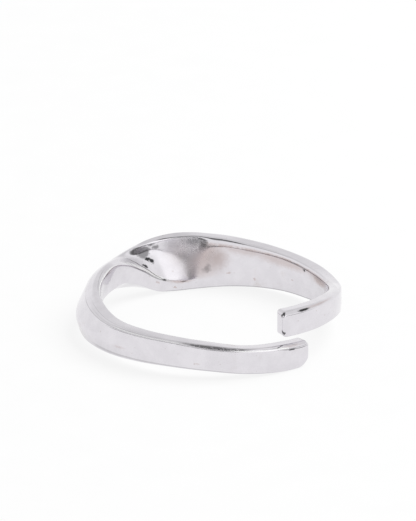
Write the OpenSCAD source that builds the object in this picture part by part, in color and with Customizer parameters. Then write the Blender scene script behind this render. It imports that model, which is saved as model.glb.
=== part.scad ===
// Open cuff ring, cast in one piece, lying on its side.
// +Z runs along the finger hole, and the ring rests on z = 0. Lengths are in millimetres.
// The band starts at the lower end, rolls over itself on the left, broadens into a hollow at the back,
// and comes round to the upper end, which passes over the lower one without touching it.

/* [Finger hole] */
// Inner diameter of the ring, a US size 7
inner_d = 17.3; // [15:0.1:21]

/* [Band] */
// Height of the band at its two ends
shank_h = 1.9; // [1.5:0.05:2.6]
// Thickness of the band at its two ends
shank_t = 0.95; // [0.8:0.05:1.5]

/* [Fold] */
// Height of the ring at the hollow, where it is tallest
fold_h = 4.45; // [3.6:0.05:5.6]
// Thickness of the ring where it rolls over, where it is thickest
fold_t = 1.85; // [1.5:0.05:2.4]

/* [Opening] */
// Gap between the lower end and the upper end above it
end_gap = 0.9; // [0.5:0.05:1.5]
// How far the upper end reaches over the lower one, in degrees
overlap_angle = 15; // [6:1:30]
// Direction of the lower end, in degrees counter-clockwise from +X
lower_end_angle = 317; // [300:1:330]

/* [Edges] */
// Rounding of the long edges
edge_r = 0.14; // [0.1:0.01:0.18]
// Rounding of the lower end's outline, at its underside
lower_end_r = 1.05; // [0.3:0.05:1.1]
// Rounding of the other corners of both ends' outlines
end_corner_r = 0.35; // [0.15:0.05:0.4]
// Rounding around both end faces
end_face_r = 0.18; // [0.1:0.02:0.26]

/* [Hidden] */

hole_r = inner_d / 2;
// How high the underside of the upper end lies
rise = shank_h + end_gap;
// The turn from end to end, in degrees, and its length along the middle of the band
turn = 360 + overlap_angle;
turn_length = (hole_r + shank_t / 2) * turn * PI / 180;

// Heights of the section's corners along the turn. at is the share of the turn from the lower end, lift is the
// underside as a share of the rise, and tall goes from the shank's height, 0, to the fold's, 1. The others are
// shares of the section's own height: the inner underside, the outer top edge, the rim, the fold and the crest.
HEIGHTS = [
    // at   lift  tall  arch  brow  rim   fold  crest
    [0.000, 0.00, 0.03, 0.00, 0.86, 1.00, 1.00, 1.00],
    [0.035, 0.02, 0.07, 0.00, 0.86, 1.00, 1.00, 1.00],
    [0.085, 0.12, 0.04, 0.01, 0.89, 1.00, 1.00, 0.99],
    [0.135, 0.25, 0.05, 0.03, 0.87, 1.00, 1.01, 1.01],
    [0.180, 0.29, 0.08, 0.07, 0.92, 0.99, 1.01, 1.03],
    [0.225, 0.26, 0.12, 0.11, 0.94, 0.98, 1.02, 1.04],
    [0.270, 0.21, 0.15, 0.20, 0.97, 1.00, 1.04, 1.06],
    [0.320, 0.20, 0.20, 0.35, 0.95, 1.01, 1.08, 1.12],
    [0.365, 0.19, 0.27, 0.46, 0.93, 1.02, 1.12, 1.12],
    [0.405, 0.27, 0.38, 0.38, 0.84, 0.95, 1.06, 1.00],
    [0.440, 0.32, 0.46, 0.31, 0.76, 0.86, 0.99, 0.93],
    [0.470, 0.32, 0.55, 0.28, 0.78, 0.84, 0.84, 0.73],
    [0.498, 0.21, 0.71, 0.14, 0.89, 0.92, 0.72, 0.50],
    [0.522, 0.07, 0.91, 0.03, 0.97, 0.91, 0.76, 0.31],
    [0.548, 0.01, 0.99, 0.01, 1.00, 0.94, 0.66, 0.20],
    [0.580, 0.01, 0.98, 0.01, 0.99, 0.97, 0.60, 0.19],
    [0.600, 0.02, 0.94, 0.02, 0.98, 0.97, 0.80, 0.22],
    [0.615, 0.03, 0.89, 0.03, 0.98, 0.97, 0.83, 0.25],
    [0.655, 0.09, 0.74, 0.03, 0.96, 0.93, 0.82, 0.34],
    [0.705, 0.17, 0.53, 0.02, 0.96, 0.94, 0.84, 0.42],
    [0.760, 0.25, 0.32, 0.01, 0.97, 0.96, 0.86, 0.46],
    [0.810, 0.45, 0.08, 0.00, 0.94, 0.99, 0.91, 0.50],
    [0.850, 0.67, 0.00, 0.00, 0.90, 1.00, 0.93, 0.50],
    [0.900, 0.85, 0.00, 0.00, 0.90, 0.99, 1.00, 0.50],
    [0.950, 0.93, 0.04, 0.00, 0.86, 1.00, 1.00, 0.50],
    [1.000, 1.00, 0.04, 0.00, 0.85, 1.00, 1.00, 0.50],
];

// Depths of the section's corners along the turn. thick goes from the shank's thickness, 0, to the fold's, 1.
// The others are shares of the section's own thickness, outwards from the finger hole: the outer underside, the
// outer face half-way up, the outer top edge, the rim and the fold. soft and melt are how far the edges at the
// top and the fold are rounded, as shares of the long edges' rounding.
DEPTHS = [
    // at   thick foot  belly head  lip   dish  soft  melt
    [0.000, 0.06, 1.00, 1.02, 1.00, 0.74, 0.40, 1.00, 1.0],
    [0.085, 0.00, 0.98, 1.01, 0.98, 0.82, 0.40, 1.00, 1.0],
    [0.135, 0.00, 0.98, 1.01, 0.97, 0.80, 0.40, 1.00, 1.0],
    [0.180, 0.00, 0.98, 1.01, 0.95, 0.83, 0.40, 1.00, 1.0],
    [0.225, 0.12, 0.97, 1.05, 0.93, 0.75, 0.40, 1.00, 1.0],
    [0.270, 0.40, 0.94, 1.06, 0.84, 0.66, 0.36, 1.20, 1.5],
    [0.320, 0.85, 0.91, 1.06, 0.65, 0.50, 0.30, 1.50, 2.5],
    [0.365, 1.00, 0.88, 1.06, 0.64, 0.52, 0.30, 1.80, 3.0],
    [0.405, 0.92, 0.88, 1.05, 0.75, 0.60, 0.34, 1.80, 3.5],
    [0.440, 0.78, 0.88, 1.02, 0.88, 0.72, 0.36, 1.50, 3.5],
    [0.470, 0.66, 0.90, 1.01, 0.97, 0.74, 0.50, 2.00, 4.0],
    [0.498, 0.52, 0.92, 1.00, 1.00, 0.72, 0.60, 2.20, 3.0],
    [0.522, 0.42, 0.90, 1.00, 1.00, 0.75, 0.72, 2.00, 6.0],
    [0.548, 0.36, 0.88, 1.00, 1.00, 0.70, 0.60, 1.00, 6.0],
    [0.580, 0.34, 0.88, 1.00, 1.00, 0.48, 0.25, 1.00, 4.0],
    [0.600, 0.32, 0.89, 1.00, 1.00, 0.27, 0.07, 2.00, 2.0],
    [0.615, 0.30, 0.90, 1.00, 1.00, 0.24, 0.05, 2.00, 1.0],
    [0.655, 0.20, 0.94, 1.00, 1.00, 0.19, 0.04, 2.00, 1.0],
    [0.705, 0.08, 0.97, 1.00, 0.99, 0.13, 0.00, 1.50, 1.0],
    [0.760, 0.09, 0.98, 1.02, 1.02, 0.14, 0.00, 1.00, 1.0],
    [0.810, 0.09, 0.98, 1.05, 1.03, 0.30, 0.00, 1.00, 1.0],
    [0.850, 0.04, 0.98, 1.03, 1.00, 0.56, 0.00, 1.00, 1.0],
    [0.900, 0.02, 0.98, 1.01, 0.98, 0.66, 0.00, 1.00, 1.0],
    [1.000, 0.00, 0.98, 1.01, 0.98, 0.72, 0.00, 1.00, 1.0],
];

// Sections between the two rounded ends
TURN_STEPS = 96;
// Places of the sections at a rounded end, as shares of its rounding
END_STEPS = [0, 0.04, 0.16, 0.4, 0.7];
// Points on the two halves of a rounded corner, and on the side that follows it
CORNER_STEPS = [2, 2, 1];
// The outer face is widest at this share of the outer top edge's height
BELLY_UP = 0.45;
// How much of a side the rounding of a corner may take
SIDE_SHARE = 0.4;

// Slope of column k from row i to the next
function slope_after(rows, i, k) = (rows[i + 1][k] - rows[i][k]) / (rows[i + 1][0] - rows[i][0]);

// Slope of column k at row i: the slopes to both neighbours, weighted by the nearer one
function slope(rows, i, k) =
    i == 0 ? slope_after(rows, 0, k)
    : i == len(rows) - 1 ? slope_after(rows, i - 1, k)
    : let (before = rows[i][0] - rows[i - 1][0], after = rows[i + 1][0] - rows[i][0])
      (slope_after(rows, i - 1, k) * after + slope_after(rows, i, k) * before) / (before + after);

// The row that starts the stretch around a place on the turn
function row_before(rows, at, i = 0) =
    i < len(rows) - 2 && at > rows[i + 1][0] ? row_before(rows, at, i + 1) : i;

// All columns of a table at a place on the turn, on a smooth curve through its rows
function read(rows, at) =
    let (i = row_before(rows, at), step = rows[i + 1][0] - rows[i][0], t = (at - rows[i][0]) / step)
    [for (k = [0:len(rows[0]) - 1])
        let (a = rows[i][k], b = rows[i + 1][k], u = slope(rows, i, k) * step, v = slope(rows, i + 1, k) * step)
        a + u * t + (3 * (b - a) - 2 * u - v) * t ^ 2 + (2 * (a - b) + u + v) * t ^ 3];

// The section's corners, anticlockwise from the inner underside: [distance from the axis, height, rounding]
function corners(at) =
    let (h = read(HEIGHTS, at), d = read(DEPTHS, at),
         lift = h[1] * rise, tall = shank_h + h[2] * (fold_h - shank_h),
         thick = shank_t + d[1] * (fold_t - shank_t), soft = d[7] * edge_r, melt = d[8] * edge_r)
    [
        [hole_r, lift + h[3] * tall, edge_r],
        [hole_r + d[2] * thick, lift, edge_r],
        [hole_r + d[3] * thick, lift + BELLY_UP * h[4] * tall, tall],
        [hole_r + d[4] * thick, lift + h[4] * tall, soft],
        [hole_r + d[5] * thick, lift + h[5] * tall, soft],
        [hole_r + d[6] * thick, lift + h[6] * tall, melt],
        [hole_r, lift + h[7] * tall, soft],
    ];

// The point beside the corner p, towards q, that rounds it
function beside(p, q, cut) = let (side = norm(q - p)) p + (q - p) * min(cut / side, SIDE_SHARE);

// The corners with the two points beside each of them
function outline(c) =
    let (n = len(c), p = [for (k = c) [k[0], k[1]]])
    [for (k = [0:n - 1]) each
        [beside(p[k], p[(k + n - 1) % n], c[k][2]), p[k], beside(p[k], p[(k + 1) % n], c[k][2])]];

// Closed smooth curve near its control points p, with its own number of steps after each point
function curve(p) =
    let (n = len(p))
    [for (i = [0:n - 1]) let (steps = CORNER_STEPS[i % 3], a = p[(i + n - 1) % n], b = p[i],
                              c = p[(i + 1) % n], d = p[(i + 2) % n])
        for (j = [0:steps - 1]) let (t = j / steps)
            ((1 - t) ^ 3 * a + (3 * t ^ 3 - 6 * t ^ 2 + 4) * b
             + (-3 * t ^ 3 + 3 * t ^ 2 + 3 * t + 1) * c + t ^ 3 * d) / 6];

// How far a corner of radius r draws back at a distance s from the end
function drawn_back(r, s) = s < r ? r - sqrt(r ^ 2 - (r - s) ^ 2) : 0;

// The section at a place on the turn, drawn in towards its middle where an end is rounded
function section(at) =
    let (p = curve(outline(corners(at))), from_low = at * turn_length, from_high = (1 - at) * turn_length,
         under = drawn_back(lower_end_r, from_low) + drawn_back(end_corner_r, from_high),
         over = drawn_back(end_corner_r, from_low) + drawn_back(end_corner_r, from_high),
         face = drawn_back(end_face_r, from_low) + drawn_back(end_face_r, from_high),
         x = [for (q = p) q[0]], z = [for (q = p) q[1]],
         wide = max(x) - min(x), tall = max(z) - min(z))
    [for (q = p) [
        min(x) + face + (q[0] - min(x)) * (wide - 2 * face) / wide,
        min(z) + under + (q[1] - min(z)) * (tall - under - over) / tall,
    ]];

// Places of all sections: close together at the two ends, even between them
function places() =
    let (low = [for (e = END_STEPS) e * lower_end_r / turn_length],
         high = [for (i = [len(END_STEPS) - 1:-1:0]) 1 - END_STEPS[i] * end_corner_r / turn_length],
         first = lower_end_r / turn_length, last = 1 - end_corner_r / turn_length)
    concat(low, [for (i = [0:TURN_STEPS]) first + (last - first) * i / TURN_STEPS], high);

// Middle of a section's points
function middle(s) = [for (k = [0, 1]) [for (q = s) q[k]] * [for (q = s) 1] / len(s)];

// The band: its sections stood around the finger hole's axis and joined by triangles, its two ends closed by fans
module ring() {
    at = places();
    sections = [for (a = at) section(a)];
    m = len(sections[0]);
    last = len(at) - 1;
    points = [for (i = [0:last]) let (angle = lower_end_angle - at[i] * turn, s = sections[i])
        for (q = i == 0 || i == last ? concat(s, [middle(s)]) : s) [q[0] * cos(angle), q[0] * sin(angle), q[1]]];
    low_middle = m;
    high_middle = len(points) - 1;
    function index(i, j) = i * m + j % m + (i > 0 ? 1 : 0);
    low_face = [for (j = [0:m - 1]) [index(0, j + 1), index(0, j), low_middle]];
    high_face = [for (j = [0:m - 1]) [index(last, j), index(last, j + 1), high_middle]];
    sides = [for (i = [0:last - 1]) for (j = [0:m - 1])
        let (a = index(i, j), b = index(i, j + 1), c = index(i + 1, j), d = index(i + 1, j + 1))
        each [[a, b, c], [b, d, c]]];
    color("silver")
    polyhedron(points = points, faces = concat(low_face, sides, high_face), convexity = 10);
}

ring();
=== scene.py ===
"""Looks of the open cuff ring: one polished silver band on a pale floor, in soft studio light.

The band is drawn with the same named sizes, share tables and functions as the part's source, but with more
steps, so that its polish runs smoothly over it. The sizes are in millimetres, and the mesh is in metres.
"""
import math

import bpy
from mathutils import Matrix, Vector


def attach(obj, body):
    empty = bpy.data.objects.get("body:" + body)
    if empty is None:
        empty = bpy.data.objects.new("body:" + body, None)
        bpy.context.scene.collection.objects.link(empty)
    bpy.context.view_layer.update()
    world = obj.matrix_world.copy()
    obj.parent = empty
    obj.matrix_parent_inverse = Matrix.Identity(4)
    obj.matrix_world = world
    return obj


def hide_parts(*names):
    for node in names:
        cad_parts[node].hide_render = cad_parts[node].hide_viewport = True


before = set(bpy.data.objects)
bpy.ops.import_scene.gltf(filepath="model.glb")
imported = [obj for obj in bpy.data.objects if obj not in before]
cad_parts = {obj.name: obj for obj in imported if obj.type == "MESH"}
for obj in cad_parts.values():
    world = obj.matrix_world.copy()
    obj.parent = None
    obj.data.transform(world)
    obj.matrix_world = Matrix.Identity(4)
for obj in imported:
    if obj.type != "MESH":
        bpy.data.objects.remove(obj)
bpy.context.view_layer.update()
MM = 0.001

# The band's sizes and tables, as in the part's source

# Inner diameter
INNER_D = 17.3
# Height and thickness of the band at its two ends
SHANK_H, SHANK_T = 1.9, 0.95
# Height of the ring at the hollow, and its thickness where it rolls over
FOLD_H, FOLD_T = 4.45, 1.85
# Gap between the lower end and the upper end above it, and how far they overlap, in degrees
END_GAP, OVERLAP_ANGLE = 0.9, 15
# Direction of the lower end, in degrees anticlockwise from +X
LOWER_END_ANGLE = 317
# Roundings: long edges, the lower end's underside, the other corners of both ends, and both end faces
EDGE_R, LOWER_END_R, END_CORNER_R, END_FACE_R = 0.14, 1.05, 0.35, 0.18
HOLE_R = INNER_D / 2
# How high the underside of the upper end lies
RISE = SHANK_H + END_GAP
# The turn from end to end, in degrees, and its length along the middle of the band
TURN = 360 + OVERLAP_ANGLE
TURN_LENGTH = (HOLE_R + SHANK_T / 2) * math.radians(TURN)
# The outer face is widest at this share of the outer top edge's height
BELLY_UP = 0.45
# How much of a side the rounding of a corner may take
SIDE_SHARE = 0.4

# Heights of the section's corners along the turn. at is the share of the turn from the lower end, lift is the
# underside as a share of the rise, and tall goes from the shank's height, 0, to the fold's, 1. The others are
# shares of the section's own height: inner underside, outer top edge, rim, fold and crest.
HEIGHTS = [
    # at   lift  tall  arch  brow  rim   fold  crest
    [0.000, 0.00, 0.03, 0.00, 0.86, 1.00, 1.00, 1.00],
    [0.035, 0.02, 0.07, 0.00, 0.86, 1.00, 1.00, 1.00],
    [0.085, 0.12, 0.04, 0.01, 0.89, 1.00, 1.00, 0.99],
    [0.135, 0.25, 0.05, 0.03, 0.87, 1.00, 1.01, 1.01],
    [0.180, 0.29, 0.08, 0.07, 0.92, 0.99, 1.01, 1.03],
    [0.225, 0.26, 0.12, 0.11, 0.94, 0.98, 1.02, 1.04],
    [0.270, 0.21, 0.15, 0.20, 0.97, 1.00, 1.04, 1.06],
    [0.320, 0.20, 0.20, 0.35, 0.95, 1.01, 1.08, 1.12],
    [0.365, 0.19, 0.27, 0.46, 0.93, 1.02, 1.12, 1.12],
    [0.405, 0.27, 0.38, 0.38, 0.84, 0.95, 1.06, 1.00],
    [0.440, 0.32, 0.46, 0.31, 0.76, 0.86, 0.99, 0.93],
    [0.470, 0.32, 0.55, 0.28, 0.78, 0.84, 0.84, 0.73],
    [0.498, 0.21, 0.71, 0.14, 0.89, 0.92, 0.72, 0.50],
    [0.522, 0.07, 0.91, 0.03, 0.97, 0.91, 0.76, 0.31],
    [0.548, 0.01, 0.99, 0.01, 1.00, 0.94, 0.66, 0.20],
    [0.580, 0.01, 0.98, 0.01, 0.99, 0.97, 0.60, 0.19],
    [0.600, 0.02, 0.94, 0.02, 0.98, 0.97, 0.80, 0.22],
    [0.615, 0.03, 0.89, 0.03, 0.98, 0.97, 0.83, 0.25],
    [0.655, 0.09, 0.74, 0.03, 0.96, 0.93, 0.82, 0.34],
    [0.705, 0.17, 0.53, 0.02, 0.96, 0.94, 0.84, 0.42],
    [0.760, 0.25, 0.32, 0.01, 0.97, 0.96, 0.86, 0.46],
    [0.810, 0.45, 0.08, 0.00, 0.94, 0.99, 0.91, 0.50],
    [0.850, 0.67, 0.00, 0.00, 0.90, 1.00, 0.93, 0.50],
    [0.900, 0.85, 0.00, 0.00, 0.90, 0.99, 1.00, 0.50],
    [0.950, 0.93, 0.04, 0.00, 0.86, 1.00, 1.00, 0.50],
    [1.000, 1.00, 0.04, 0.00, 0.85, 1.00, 1.00, 0.50],
]

# Depths of the section's corners along the turn. thick goes from the shank's thickness, 0, to the fold's, 1.
# The others are shares of the section's own thickness, outwards from the finger hole: outer underside, outer
# face half-way up, outer top edge, rim and fold. soft and melt are how far the edges at the top and the fold
# are rounded, as shares of the long edges' rounding.
DEPTHS = [
    # at   thick foot  belly head  lip   dish  soft  melt
    [0.000, 0.06, 1.00, 1.02, 1.00, 0.74, 0.40, 1.00, 1.0],
    [0.085, 0.00, 0.98, 1.01, 0.98, 0.82, 0.40, 1.00, 1.0],
    [0.135, 0.00, 0.98, 1.01, 0.97, 0.80, 0.40, 1.00, 1.0],
    [0.180, 0.00, 0.98, 1.01, 0.95, 0.83, 0.40, 1.00, 1.0],
    [0.225, 0.12, 0.97, 1.05, 0.93, 0.75, 0.40, 1.00, 1.0],
    [0.270, 0.40, 0.94, 1.06, 0.84, 0.66, 0.36, 1.20, 1.5],
    [0.320, 0.85, 0.91, 1.06, 0.65, 0.50, 0.30, 1.50, 2.5],
    [0.365, 1.00, 0.88, 1.06, 0.64, 0.52, 0.30, 1.80, 3.0],
    [0.405, 0.92, 0.88, 1.05, 0.75, 0.60, 0.34, 1.80, 3.5],
    [0.440, 0.78, 0.88, 1.02, 0.88, 0.72, 0.36, 1.50, 3.5],
    [0.470, 0.66, 0.90, 1.01, 0.97, 0.74, 0.50, 2.00, 4.0],
    [0.498, 0.52, 0.92, 1.00, 1.00, 0.72, 0.60, 2.20, 3.0],
    [0.522, 0.42, 0.90, 1.00, 1.00, 0.75, 0.72, 2.00, 6.0],
    [0.548, 0.36, 0.88, 1.00, 1.00, 0.70, 0.60, 1.00, 6.0],
    [0.580, 0.34, 0.88, 1.00, 1.00, 0.48, 0.25, 1.00, 4.0],
    [0.600, 0.32, 0.89, 1.00, 1.00, 0.27, 0.07, 2.00, 2.0],
    [0.615, 0.30, 0.90, 1.00, 1.00, 0.24, 0.05, 2.00, 1.0],
    [0.655, 0.20, 0.94, 1.00, 1.00, 0.19, 0.04, 2.00, 1.0],
    [0.705, 0.08, 0.97, 1.00, 0.99, 0.13, 0.00, 1.50, 1.0],
    [0.760, 0.09, 0.98, 1.02, 1.02, 0.14, 0.00, 1.00, 1.0],
    [0.810, 0.09, 0.98, 1.05, 1.03, 0.30, 0.00, 1.00, 1.0],
    [0.850, 0.04, 0.98, 1.03, 1.00, 0.56, 0.00, 1.00, 1.0],
    [0.900, 0.02, 0.98, 1.01, 0.98, 0.66, 0.00, 1.00, 1.0],
    [1.000, 0.00, 0.98, 1.01, 0.98, 0.72, 0.00, 1.00, 1.0],
]

# Sections between the two rounded ends
TURN_STEPS = 480
# Places of the sections at a rounded end, as shares of its rounding
END_STEPS = [0, 0.01, 0.03, 0.07, 0.13, 0.21, 0.31, 0.43, 0.57, 0.73, 0.87]
# Points on the two halves of a rounded corner, and on the side that follows it
CORNER_STEPS = [5, 5, 4]
# Corner count of the end faces, away from every mark
OFF_THE_BAND = -1


def slope_after(rows, i, k):
    """Slope of column k from row i to the next."""
    return (rows[i + 1][k] - rows[i][k]) / (rows[i + 1][0] - rows[i][0])


def slope(rows, i, k):
    """Slope of column k at row i: the mean of the slopes to both sides, where the nearer row weighs more."""
    if i == 0:
        return slope_after(rows, 0, k)
    if i == len(rows) - 1:
        return slope_after(rows, i - 1, k)
    before, after = rows[i][0] - rows[i - 1][0], rows[i + 1][0] - rows[i][0]
    return (slope_after(rows, i - 1, k) * after + slope_after(rows, i, k) * before) / (before + after)


def read(rows, at):
    """All columns of a table at a place on the turn, on a smooth curve through its rows."""
    i = 0
    while i < len(rows) - 2 and at > rows[i + 1][0]:
        i += 1
    step = rows[i + 1][0] - rows[i][0]
    t = (at - rows[i][0]) / step
    out = []
    for k in range(len(rows[0])):
        a, b = rows[i][k], rows[i + 1][k]
        u, v = slope(rows, i, k) * step, slope(rows, i + 1, k) * step
        out.append(a + u * t + (3 * (b - a) - 2 * u - v) * t ** 2 + (2 * (a - b) + u + v) * t ** 3)
    return out


def corners(at):
    """The section's corners, anticlockwise from the inner underside: (radius, height, rounding)."""
    _, lift, tall, arch, brow, rim, fold, crest = read(HEIGHTS, at)
    _, thick, foot, belly, head, lip, dish, soft, melt = read(DEPTHS, at)
    lift *= RISE
    tall = SHANK_H + tall * (FOLD_H - SHANK_H)
    thick = SHANK_T + thick * (FOLD_T - SHANK_T)
    soft, melt = soft * EDGE_R, melt * EDGE_R
    return [
        (HOLE_R, lift + arch * tall, EDGE_R),
        (HOLE_R + foot * thick, lift, EDGE_R),
        (HOLE_R + belly * thick, lift + BELLY_UP * brow * tall, tall),
        (HOLE_R + head * thick, lift + brow * tall, soft),
        (HOLE_R + lip * thick, lift + rim * tall, soft),
        (HOLE_R + dish * thick, lift + fold * tall, melt),
        (HOLE_R, lift + crest * tall, soft),
    ]


def beside(corner, other, cut):
    """The point beside a corner, towards another one, that rounds it."""
    side = math.hypot(other[0] - corner[0], other[1] - corner[1])
    share = min(cut / side, SIDE_SHARE)
    return tuple(corner[k] + (other[k] - corner[k]) * share for k in (0, 1))


def outline(ring):
    """The corners of a section with the two points beside each of them."""
    out = []
    for k, corner in enumerate(ring):
        before, after, cut = ring[k - 1], ring[(k + 1) % len(ring)], corner[2]
        out += [beside(corner, before, cut), corner[:2], beside(corner, after, cut)]
    return out


def curve(points):
    """Closed smooth curve near its control points, with its own number of steps after each point."""
    out = []
    for i in range(len(points)):
        near = [points[(i + k) % len(points)] for k in (-1, 0, 1, 2)]
        steps = CORNER_STEPS[i % 3]
        for j in range(steps):
            t = j / steps
            weights = ((1 - t) ** 3, 3 * t ** 3 - 6 * t ** 2 + 4,
                       -3 * t ** 3 + 3 * t ** 2 + 3 * t + 1, t ** 3)
            out.append(tuple(sum(w * q[k] for w, q in zip(weights, near)) / 6 for k in (0, 1)))
    return out


def drawn_back(r, s):
    """How far a corner of radius r draws back at a distance s from the end."""
    return r - math.sqrt(r ** 2 - (r - s) ** 2) if s < r else 0.0


def section(at):
    """The section at a place on the turn, drawn in towards its middle where an end is rounded."""
    points = curve(outline(corners(at)))
    from_low, from_high = at * TURN_LENGTH, (1 - at) * TURN_LENGTH
    under = drawn_back(LOWER_END_R, from_low) + drawn_back(END_CORNER_R, from_high)
    over = drawn_back(END_CORNER_R, from_low) + drawn_back(END_CORNER_R, from_high)
    face = drawn_back(END_FACE_R, from_low) + drawn_back(END_FACE_R, from_high)
    if under + over + face == 0:
        return points
    x, z = [q[0] for q in points], [q[1] for q in points]
    x0, wide, z0, tall = min(x), max(x) - min(x), min(z), max(z) - min(z)
    return [(x0 + face + (q[0] - x0) * (wide - 2 * face) / wide,
             z0 + under + (q[1] - z0) * (tall - under - over) / tall) for q in points]


def places():
    """Places of all sections: close together at the two ends, even between them."""
    first, last = LOWER_END_R / TURN_LENGTH, 1 - END_CORNER_R / TURN_LENGTH
    return ([e * first for e in END_STEPS]
            + [first + (last - first) * i / TURN_STEPS for i in range(TURN_STEPS + 1)]
            + [1 - e * (1 - last) for e in reversed(END_STEPS)])


def stood(point, angle):
    """A section's point, in metres, stood around the hole's axis at an angle."""
    x, z = point
    return (x * math.cos(angle) * MM, x * math.sin(angle) * MM, z * MM)


def run_around(points):
    """Lengths along a closed section, from its first point to each of the others and back to it."""
    run = [0.0]
    for here, there in zip(points, points[1:] + points[:1]):
        run.append(run[-1] + math.hypot(there[0] - here[0], there[1] - here[1]))
    return run


def smooth_mesh(name, verts, faces, layers):
    """A smooth mesh with its UV maps, which hold one place for each corner of each face."""
    mesh = bpy.data.meshes.new(name)
    mesh.from_pydata(verts, [], faces)
    for layer_name, values in layers:
        layer = mesh.uv_layers.new(name=layer_name)
        for loop, uv in zip(layer.data, values):
            loop.uv = uv
    for polygon in mesh.polygons:
        polygon.use_smooth = True
    mesh.update()
    return mesh


def build_band():
    """The band as one smooth mesh with two UV maps, which both run along the turn in millimetres.

    Across, "band" runs around the section in millimetres, and "corners" counts the section's corners: 0 inner
    underside, 1 outer underside, 2 outer face, 3 outer top edge, 4 rim, 5 fold, 6 crest.
    """
    at = places()
    sections = [section(a) for a in at]
    around = [run_around(points) for points in sections]
    angles = [math.radians(LOWER_END_ANGLE - a * TURN) for a in at]
    m, steps = len(sections[0]), sum(CORNER_STEPS)
    verts, faces, lengths, counts = [], [], [], []
    for angle, points in zip(angles, sections):
        verts += [stood(q, angle) for q in points]
    for i in range(len(at) - 1):
        here, there = at[i] * TURN_LENGTH, at[i + 1] * TURN_LENGTH
        for j in range(m):
            k = (j + 1) % m
            faces.append((i * m + j, i * m + k, (i + 1) * m + k, (i + 1) * m + j))
            lengths += [(here, around[i][j]), (here, around[i][j + 1]),
                        (there, around[i + 1][j + 1]), (there, around[i + 1][j])]
            low, high = (j - CORNER_STEPS[0]) / steps, (j + 1 - CORNER_STEPS[0]) / steps
            counts += [(here, low), (here, high), (there, high), (there, low)]
    # Each end is closed by a fan around the middle of its section
    for i in (0, len(at) - 1):
        points = sections[i]
        middle = [sum(q[k] for q in points) / m for k in (0, 1)]
        verts.append(stood(middle, angles[i]))
        for j in range(m):
            k = (j + 1) % m
            side = (k, j) if i == 0 else (j, k)
            faces.append((i * m + side[0], i * m + side[1], len(verts) - 1))
            lengths += [(q[0] - HOLE_R, q[1]) for q in (points[side[0]], points[side[1]], middle)]
            counts += [(at[i] * TURN_LENGTH, OFF_THE_BAND)] * 3
    mesh = smooth_mesh("band", verts, faces, [("band", lengths), ("corners", counts)])
    band = bpy.data.objects.new("band", mesh)
    bpy.context.scene.collection.objects.link(band)
    return band


band = build_band()
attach(band, "root")
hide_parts("ring")


# Nodes of the materials and the room


class Nodes:
    """Short ways to add the nodes of one material or world."""

    def __init__(self, tree):
        self.tree = tree

    def feed(self, sockets, values):
        """Links each socket to its value where that is a socket, and sets it otherwise."""
        for socket, value in zip(sockets, values):
            if isinstance(value, bpy.types.NodeSocket):
                self.tree.links.new(value, socket)
            else:
                socket.default_value = value

    def add(self, kind, **inputs):
        """A new node, with a value or socket for each named input, where _ stands for a space."""
        node = self.tree.nodes.new(kind)
        self.feed([node.inputs[name.replace("_", " ")] for name in inputs], inputs.values())
        return node

    def set(self, node, name, value):
        self.feed([node.inputs[name]], [value])

    def stretched(self, source, scale):
        return self.add("ShaderNodeMapping", Vector=source, Scale=scale).outputs["Vector"]

    def noise(self, place, scale, detail, rough, output="Fac"):
        node = self.add("ShaderNodeTexNoise", Vector=place, Scale=scale, Detail=detail, Roughness=rough)
        return node.outputs[output]

    def range(self, value, low, high, to_low=0.0, to_high=1.0, how="SMOOTHSTEP"):
        """A value from low to high, brought to the range from to_low to to_high."""
        node = self.add("ShaderNodeMapRange", Value=value, From_Min=low, From_Max=high,
                        To_Min=to_low, To_Max=to_high)
        node.interpolation_type = how
        return node.outputs["Result"]

    def pattern(self, place, noise, levels, to_low=0.0, to_high=1.0):
        """Noise at a place, brought from between two levels to the range from to_low to to_high."""
        return self.range(self.noise(place, *noise), *levels, to_low, to_high)

    def between(self, value, rise, full, fade, end):
        """1 from full to fade, and nothing before rise and after end."""
        return self.math("MULTIPLY", self.range(value, rise, full), self.range(value, fade, end, 1.0, 0.0))

    def vector(self, how, *values):
        node = self.tree.nodes.new("ShaderNodeVectorMath")
        node.operation = how
        self.feed(node.inputs, values)
        return node.outputs["Value" if how in ("LENGTH", "DOT_PRODUCT") else "Vector"]

    def math(self, how, *values):
        node = self.tree.nodes.new("ShaderNodeMath")
        node.operation = how
        self.feed(node.inputs, values)
        return node.outputs[0]

    def mix(self, share, a, b):
        """Colour a with a share of colour b laid over it."""
        node = self.tree.nodes.new("ShaderNodeMix")
        node.data_type = "RGBA"
        self.feed((node.inputs[0], node.inputs[6], node.inputs[7]), (share, a, b))
        return node.outputs[2]


# Polished silver

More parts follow.
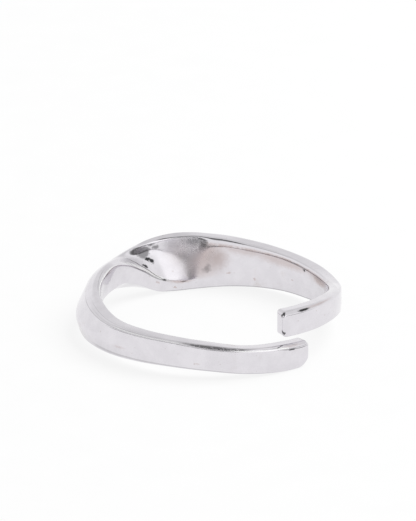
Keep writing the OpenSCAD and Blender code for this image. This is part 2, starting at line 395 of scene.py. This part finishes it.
# Painted dark reflections: black marks where the polish would mirror dark parts of the room, in the hollow,
# on the bevels and near the ends. along is the place along the turn (mm), and across is the place around the
# section, counted in corners. The half lengths go the same two ways, strength is the mark's share in its
# middle, and full is the part of the half lengths that has it. The brown, dull and scuffed lists below are
# such lists too.
PAINTED_DARK_REFLECTIONS = [
    # along, across, half along, half across, strength, full
    (29.85, 4.42, 0.74, 0.44, 0.52, 0.70),
    (30.50, 4.76, 0.70, 0.56, 0.62, 0.70),
    (30.74, 5.27, 0.36, 0.10, 0.97, 0.50),
    (31.02, 5.34, 0.30, 0.10, 0.97, 0.50),
    (30.28, 5.54, 0.34, 0.08, 0.92, 0.50),
    (31.25, 4.25, 0.35, 0.25, 0.65, 0.30),
    (31.55, 4.62, 0.40, 0.26, 0.60, 0.30),
    (34.50, 4.42, 1.50, 0.22, 0.45, 0.00),
    (35.25, 4.60, 0.45, 0.34, 0.45, 0.20),
    (35.55, 5.58, 0.55, 0.14, 0.45, 0.10),
    (34.20, 5.00, 1.30, 0.70, 0.12, 0.00),
    (31.90, 6.05, 0.36, 0.20, 0.90, 0.40),
    (33.60, 6.08, 0.36, 0.18, 0.75, 0.30),
    (44.63, 5.20, 0.24, 0.17, 0.92, 0.40),
    (46.90, 5.22, 1.70, 0.28, 0.22, 0.20),
    (36.20, 5.46, 1.50, 0.34, 0.13, 0.00),
    (32.90, 4.55, 1.00, 0.35, 0.20, 0.10),
    (57.75, 3.38, 0.75, 0.34, 0.97, 0.45),
    (59.62, 3.60, 0.12, 0.35, 0.85, 0.50),
    (59.66, 1.40, 0.14, 0.22, 0.85, 0.50),
    (1.65, 2.78, 0.40, 0.15, 0.95, 0.40),
    (7.50, 3.20, 2.20, 0.48, 0.35, 0.10),
]
# Brown marks, among them a painted brownish reflection of the dim room across the hollow
BROWN_MARKS_AND_REFLECTION = [
    (35.40, 5.25, 2.60, 1.00, 0.95, 0.00),
    (33.60, 4.90, 1.80, 0.80, 0.40, 0.00),
    (31.26, 6.37, 0.30, 0.08, 0.80, 0.30),
    (32.84, 6.57, 0.16, 0.07, 0.90, 0.30),
    (37.34, 5.83, 0.25, 0.10, 0.80, 0.30),
    (39.52, 6.43, 0.16, 0.08, 0.80, 0.30),
    (43.17, 6.23, 0.16, 0.08, 0.80, 0.30),
    (14.85, 1.90, 0.80, 0.16, 0.50, 0.00),
    (8.77, 1.70, 0.30, 0.10, 0.60, 0.00),
    (56.00, 3.50, 2.80, 0.45, 0.75, 0.00),
    (1.60, 3.45, 1.30, 0.45, 0.55, 0.00),
    (46.60, 5.05, 3.00, 0.62, 0.75, 0.20),
    (47.20, 5.32, 1.90, 0.34, 1.00, 0.40),
    (36.30, 5.46, 1.60, 0.34, 0.95, 0.00),
    (38.60, 5.20, 2.80, 0.28, 0.60, 0.30),
    (42.20, 5.24, 3.60, 0.34, 0.70, 0.40),
    (33.30, 6.08, 1.50, 0.36, 0.90, 0.20),
]
# Dull places, where the roughness rises
DULL = [
    (28.90, 5.40, 1.70, 0.50, 0.35, 0.60),
]
# Scuffed places, where fine scratches break up the gloss
SCUFFED = [
    (7.40, 3.50, 3.20, 0.90, 1.00, 0.50),
    (34.60, 4.45, 1.50, 0.55, 1.00, 0.30),
]
# Painted dark reflections along the edges and painted shade along the underside near the floor, as dark lines
# along the turn, from the first to the last place (mm). start and end are where they lie across there, in
# corners, and half is half their width.
PAINTED_DARK_LINES = [
    # start, end, half, first, last, strength
    (3.10, 3.10, 0.045, 9.0, 21.5, 0.60),
    (3.45, 3.45, 0.050, 8.0, 18.0, 0.30),
    (3.75, 3.80, 0.050, 9.0, 19.0, 0.30),
    (4.12, 3.95, 0.060, 11.0, 15.5, 0.50),
    (4.40, 4.40, 0.050, 11.0, 20.0, 0.25),
    (1.08, 1.42, 0.110, 3.5, 17.5, 0.22),
    (5.70, 5.40, 0.050, 21.5, 24.8, 0.35),
    (4.10, 4.10, 0.040, 33.0, 42.5, 0.45),
    (4.00, 4.12, 0.050, 6.0, 11.0, 0.60),
    (3.55, 4.02, 0.060, 4.2, 6.3, 0.70),
    (3.42, 3.55, 0.070, 2.8, 4.4, 0.80),
    (3.95, 3.44, 0.120, 2.3, 2.9, 0.90),
    (3.62, 3.80, 0.050, 1.1, 2.1, 0.65),
    (2.70, 2.85, 0.060, 0.3, 2.3, 0.75),
    (5.15, 5.60, 0.045, 28.8, 29.8, 0.70),
    (5.60, 5.95, 0.045, 29.7, 31.7, 0.75),
    (-0.05, -0.05, 0.200, 32.0, 49.0, 0.30),
    (5.04, 5.04, 0.060, 42.3, 48.5, 0.55),
    (6.10, 6.10, 0.100, 28.8, 32.2, 0.50),
]
# Painted highlights: light lines, as the dark ones, but all at full strength
PAINTED_HIGHLIGHTS = [
    (5.74, 5.98, 0.230, 28.2, 32.0),
    (5.93, 5.93, 0.110, 20.8, 26.2),
    (3.20, 3.20, 0.160, 3.2, 6.3),
    (3.10, 3.40, 0.220, 1.9, 2.9),
    (3.45, 3.45, 0.220, 9.8, 15.5),
]
# The hollow, as the marks: a little duller than the rest
HOLLOW = (33.0, 5.0, 3.4, 1.1, 1.0, 0.4)
# Brown border where the bevel meets the hole's wall, from the hollow to the right: where it rises, is full,
# fades and ends, along the turn (mm) and across (corners), and the shares between which it varies
BORDER_ALONG, BORDER_ACROSS = (34.2, 35.6, 45.0, 47.5), (4.40, 4.75, 5.06, 5.16)
BORDER_SHARES = (0.25, 0.95)
# How far marks are shaken out of their place, along (mm) and across (corners), and the share of it for lines
SHAKE, LINE_SHAKE = (0.6, 0.16, 0), 0.4
# The middle of a line that is at full strength, as a share of its half width, and how far its ends fade (mm)
LINE_CORE, LINE_FADE = 0.4, 0.8

# Colours: polished silver's two shades, its tinted patches and specks, its brown marks, the white of its
# painted highlights and the black of its painted dark reflections and shade
POLISHED_DARK, POLISHED_LIGHT = (0.72, 0.70, 0.735, 1), (0.77, 0.75, 0.785, 1)
TINTED, SPECKED = (0.62, 0.57, 0.56, 1), (0.45, 0.38, 0.34, 1)
BROWN, PAINTED_HIGHLIGHT_WHITE, PAINTED_DARK_BLACK = (0.58, 0.50, 0.495, 1), (0.98, 0.98, 0.98, 1), (0.03, 0.03, 0.032, 1)
# How strongly patches and specks are tinted
PATCH_TINT, SPECK_TINT = 0.35, 0.5
# Roughness that the polish has at least and at most, and what patches, the hollow, painted highlights,
# scratches and marks add to it
ROUGH_LOW, ROUGH_HIGH = 0.05, 0.13
PATCH_ROUGH, HOLLOW_ROUGH, PAINTED_HIGHLIGHT_ROUGH, SCRATCH_ROUGH, MARK_ROUGH = 0.10, 0.10, 0.35, 0.22, 0.15
# Heights of the hammering, the pits and the hairlines (m)
WAVE_HEIGHT, PIT_HEIGHT, HAIR_HEIGHT = 0.000012, 0.0000012, 0.0000015

# Noise of each pattern: repeats in a metre, detail and roughness of the detail
MOTTLE, CLOUD, SPECKS, PATCHES = (900, 4, 0.6), (260, 2, 0.5), (3800, 2, 0.5), (420, 3, 0.6)
SCRATCHES, BORDER, SHAKING = (4800, 2, 0.7), (1800, 3, 0.7), (4200, 2, 0.7)
WAVES, PITS = (330, 1, 0.5), (2600, 2, 0.6)
# The hairlines' noise has its repeats in a millimetre, and is drawn out along the band
HAIRLINES, HAIR_STRETCH = (1.6, 3, 0.6), (0.35, 9.0, 1.0)
# The scratches' noise is pressed together upwards
SCRATCH_STRETCH = (1.0, 1.0, 1.8)
# Levels of the noise at which a pattern starts and is full
EVEN_LEVELS, SPECK_LEVELS, PATCH_LEVELS = (0.30, 0.70), (0.70, 0.78), (0.60, 0.72)
SCRATCH_LEVELS, BORDER_LEVELS = (0.45, 0.62), (0.30, 0.60)


def spread(n, at, mark):
    """Share of a mark at a place: its strength in the middle, nothing outside."""
    along, across, half_along, half_across, strength, full = mark
    node = n.add("ShaderNodeMapping", Vector=at, Location=(-along / half_along, -across / half_across, 0),
                 Scale=(1 / half_along, 1 / half_across, 0))
    return n.range(n.vector("LENGTH", node.outputs["Vector"]), full, 1.0, strength, 0.0)


def drawn(n, parts, start, end, half, first, last, strength=1.0):
    """Share of a line at a place, fading out at both its ends."""
    tilt = (end - start) / (last - first)
    centre = n.math("MULTIPLY_ADD", parts.outputs["X"], tilt, start - tilt * first)
    aside = n.math("ABSOLUTE", n.math("SUBTRACT", parts.outputs["Y"], centre), 0.0)
    fade = min(LINE_FADE, (last - first) / 5)
    ends = n.between(parts.outputs["X"], first - fade, first + fade, last - fade, last + fade)
    return n.math("MULTIPLY", n.range(aside, half * LINE_CORE, half, strength, 0.0), ends)


def marks_and_painted_light(n, place):
    """Shares of painted dark reflections and shade, of brown marks with a painted reflection, of painted
    highlights, of dullness and of scuffing at each place of the band.
    """
    counted = n.add("ShaderNodeUVMap")
    counted.uv_map = "corners"
    shaking = n.noise(place, *SHAKING, output="Color")
    off = n.vector("MULTIPLY", n.vector("SUBTRACT", shaking, (0.5, 0.5, 0.5)), SHAKE)
    at = n.vector("ADD", counted.outputs["UV"], off)
    parts = n.add("ShaderNodeSeparateXYZ", Vector=at)
    off = n.vector("MULTIPLY", off, (LINE_SHAKE, LINE_SHAKE, 0))
    calm = n.add("ShaderNodeSeparateXYZ", Vector=n.vector("ADD", counted.outputs["UV"], off))

    painted_dark, brown, light, dull, scuffed = 0.0, 0.0, 0.0, 0.0, 0.0
    for mark in PAINTED_DARK_REFLECTIONS:
        painted_dark = n.math("MAXIMUM", painted_dark, spread(n, at, mark))
    for line in PAINTED_DARK_LINES:
        painted_dark = n.math("MAXIMUM", painted_dark, drawn(n, calm, *line))
    for mark in BROWN_MARKS_AND_REFLECTION:
        brown = n.math("MAXIMUM", brown, spread(n, at, mark))
    border = n.math("MULTIPLY", n.between(parts.outputs["Y"], *BORDER_ACROSS),
                    n.between(parts.outputs["X"], *BORDER_ALONG))
    uneven = n.pattern(place, BORDER, BORDER_LEVELS, *BORDER_SHARES)
    brown = n.math("MAXIMUM", brown, n.math("MULTIPLY", border, uneven))
    for line in PAINTED_HIGHLIGHTS:
        light = n.math("MAXIMUM", light, drawn(n, calm, *line))
    for mark in DULL:
        dull = n.math("ADD", dull, spread(n, at, mark))
    for mark in SCUFFED:
        scuffed = n.math("ADD", scuffed, spread(n, at, mark))
    hollow = spread(n, counted.outputs["UV"], HOLLOW)
    return painted_dark, brown, light, n.math("MULTIPLY_ADD", hollow, HOLLOW_ROUGH, dull), scuffed


def silver():
    """Polished silver with the marks above, painted highlights, dark reflections and shade among them, light
    hammering left by the polish, fine pits and hairlines.
    """
    mat = bpy.data.materials.new("silver")
    mat.use_nodes = True
    n = Nodes(mat.node_tree)
    shader = mat.node_tree.nodes["Principled BSDF"]
    coords = n.add("ShaderNodeTexCoord")
    place, along = coords.outputs["Object"], coords.outputs["UV"]
    painted_dark, brown, light, dull, scuffed = marks_and_painted_light(n, place)

    patches = n.pattern(place, PATCHES, PATCH_LEVELS)
    specks = n.pattern(place, SPECKS, SPECK_LEVELS)
    colour = n.mix(n.pattern(place, MOTTLE, EVEN_LEVELS), POLISHED_DARK, POLISHED_LIGHT)
    colour = n.mix(n.math("MULTIPLY", patches, PATCH_TINT), colour, TINTED)
    colour = n.mix(n.math("MULTIPLY", specks, SPECK_TINT), colour, SPECKED)
    # Brown marks with a painted reflection in the hollow, then painted highlights, then painted dark
    # reflections and shade, laid over the silver's colour
    colour = n.mix(brown, colour, BROWN)
    colour = n.mix(light, colour, PAINTED_HIGHLIGHT_WHITE)
    n.set(shader, "Base Color", n.mix(painted_dark, colour, PAINTED_DARK_BLACK))
    shader.inputs["Metallic"].default_value = 1.0

    rough = n.math("ADD", n.pattern(place, CLOUD, EVEN_LEVELS, ROUGH_LOW, ROUGH_HIGH), dull)
    scratches = n.pattern(n.stretched(place, SCRATCH_STRETCH), SCRATCHES, SCRATCH_LEVELS)
    for share, added in ((patches, PATCH_ROUGH), (light, PAINTED_HIGHLIGHT_ROUGH),
                         (n.math("MULTIPLY", scratches, scuffed), SCRATCH_ROUGH),
                         (n.math("MAXIMUM", brown, painted_dark), MARK_ROUGH)):
        rough = n.math("MULTIPLY_ADD", share, added, rough)
    n.set(shader, "Roughness", rough)

    hair = n.noise(n.stretched(along, HAIR_STRETCH), *HAIRLINES)
    bump = n.add("ShaderNodeBump", Strength=1.0, Distance=WAVE_HEIGHT, Height=n.noise(place, *WAVES))
    for height, relief in ((PIT_HEIGHT, n.noise(place, *PITS)), (HAIR_HEIGHT, hair)):
        bump = n.add("ShaderNodeBump", Strength=1.0, Distance=height, Height=relief,
                     Normal=bump.outputs["Normal"])
    n.set(shader, "Normal", bump.outputs["Normal"])
    return mat


band.data.materials.append(silver())


# Floor

# Its width (m), how rough it is, how much it glows, its two shades and the noise of its grain
FLOOR_WIDE, FLOOR_ROUGH, FLOOR_GLOW = 4.0, 0.9, 0.852
FLOOR_DARK, FLOOR_LIGHT, GRAIN = (0.075, 0.075, 0.075, 1), (0.085, 0.085, 0.085, 1), (300, 2, 0.5)


def floor():
    """Pale floor that glows a little, so that it stays as light as the photo's and still takes shadows."""
    bpy.ops.mesh.primitive_plane_add(size=FLOOR_WIDE, location=(0, 0, 0))
    plane = bpy.context.object
    plane.name = "floor"
    mat = bpy.data.materials.new("floor")
    mat.use_nodes = True
    n = Nodes(mat.node_tree)
    shader = mat.node_tree.nodes["Principled BSDF"]
    grain = n.noise(n.add("ShaderNodeTexCoord").outputs["Object"], *GRAIN)
    n.set(shader, "Base Color", n.mix(grain, FLOOR_DARK, FLOOR_LIGHT))
    shader.inputs["Roughness"].default_value = FLOOR_ROUGH
    shader.inputs["Specular IOR Level"].default_value = 0.0
    shader.inputs["Emission Color"].default_value = (1, 1, 1, 1)
    shader.inputs["Emission Strength"].default_value = FLOOR_GLOW
    plane.data.materials.append(mat)


floor()


# Studio


def softbox(name, place, aim, wide, power):
    """A square soft lamp for the shadows on the floor; the silver reflects the room instead of it."""
    light = bpy.data.lights.new(name, "AREA")
    light.shape = "RECTANGLE"
    light.size, light.size_y, light.energy = wide, wide, power
    lamp = bpy.data.objects.new(name, light)
    lamp.location = place
    lamp.rotation_euler = (Vector(aim) - Vector(place)).to_track_quat("-Z", "Y").to_euler()
    lamp.visible_glossy = False
    bpy.context.scene.collection.objects.link(lamp)


softbox("key", place=(0.20, 0.05, 0.31), aim=(0, 0, 0), wide=0.28, power=2.0)

# Greys of the room that the silver reflects, at heights from -1 to 1: on the camera's side
ROOM = [(-1, 0.95), (-0.08, 0.7), (-0.02, 0.20), (0.12, 0.20), (0.20, 1), (1, 1)]
# And behind the ring
BACKDROP = [(-1, 0.97), (0.36, 0.97), (0.44, 0.90), (0.54, 0.90), (0.64, 0.97), (1, 0.97)]
# Share of the backdrop, from the camera's side, -1, to the back, 1
BEHIND = [(-0.1, 0), (0.3, 1)]
# How much of the light is left at each height, a little less overhead
OVERHEAD = [(-1, 1), (0.45, 1), (0.75, 0.80), (1, 0.80)]
# The bright window and the dark spot over the camera: azimuth and elevation in degrees, their share by how
# near a direction is to them, and their grey
WINDOW_AT, WINDOW, WINDOW_GREY = (42, 22), [(0.895, 0), (0.94, 1)], 1.27
SPOT_AT, SPOT, SPOT_GREY = (10, 52), [(0.88, 0), (0.94, 1)], 0.20


def grey(level):
    """An opaque grey."""
    return (level, level, level, 1)


def studio():
    """Bright backdrop behind, dim room on the camera's side, as the silver reflects them."""
    world = bpy.data.worlds.new("studio")
    bpy.context.scene.world = world
    world.use_nodes = True
    n = Nodes(world.node_tree)
    back = world.node_tree.nodes["Background"]
    around = n.add("ShaderNodeTexCoord").outputs["Generated"]
    parts = n.add("ShaderNodeSeparateXYZ", Vector=around)

    def ramp(value, stops):
        """Grey levels at places from -1 to 1, with soft steps between them."""
        node = n.add("ShaderNodeValToRGB", Fac=n.range(value, -1.0, 1.0, how="LINEAR"))
        node.color_ramp.interpolation = "EASE"
        levels = node.color_ramp.elements
        levels.remove(levels[-1])
        levels[0].position, levels[0].color = (stops[0][0] + 1) / 2, grey(stops[0][1])
        for place, level in stops[1:]:
            levels.new((place + 1) / 2).color = grey(level)
        return node.outputs["Color"]

    def facing(azimuth, elevation):
        """How near a direction is to a place in the room. Azimuth 0 is the camera's side, right is more."""
        a, e = math.radians(azimuth), math.radians(elevation)
        direction = (math.cos(e) * math.sin(a), -math.cos(e) * math.cos(a), math.sin(e))
        return n.vector("DOT_PRODUCT", around, direction)

    depth, height = parts.outputs["Y"], parts.outputs["Z"]
    lit = n.mix(ramp(depth, BEHIND), ramp(height, ROOM), ramp(height, BACKDROP))
    lit = n.mix(ramp(height, OVERHEAD), grey(0), lit)
    lit = n.mix(ramp(facing(*WINDOW_AT), WINDOW), lit, grey(WINDOW_GREY))
    n.set(back, "Color", n.mix(ramp(facing(*SPOT_AT), SPOT), lit, grey(SPOT_GREY)))
    back.inputs["Strength"].default_value = 1.0


studio()


# Camera


def camera():
    """Looks along +Y and 22 degrees down, 300 mm from a point on the axis; the frame is 416 x 521 pixels."""
    wide, high, sensor = 416, 521, 36
    elevation, distance, px_per_mm = math.radians(22), 300, 13.15
    aim, aim_px = Vector((0, 0, 1.8)) * MM, (214.5, 309.25)
    data = bpy.data.cameras.new("camera")
    data.sensor_fit = "VERTICAL"
    data.sensor_height = sensor
    data.lens = px_per_mm * distance * sensor / high
    data.shift_x = (wide / 2 - aim_px[0]) / high
    data.shift_y = (aim_px[1] - high / 2) / high
    data.clip_start = 0.01
    cam = bpy.data.objects.new("camera", data)
    cam.location = aim + Vector((0, -math.cos(elevation), math.sin(elevation))) * distance * MM
    cam.rotation_euler = (aim - cam.location).to_track_quat("-Z", "Y").to_euler()
    bpy.context.scene.collection.objects.link(cam)
    bpy.context.scene.camera = cam


camera()
bpy.context.scene.view_settings.view_transform = "Standard"
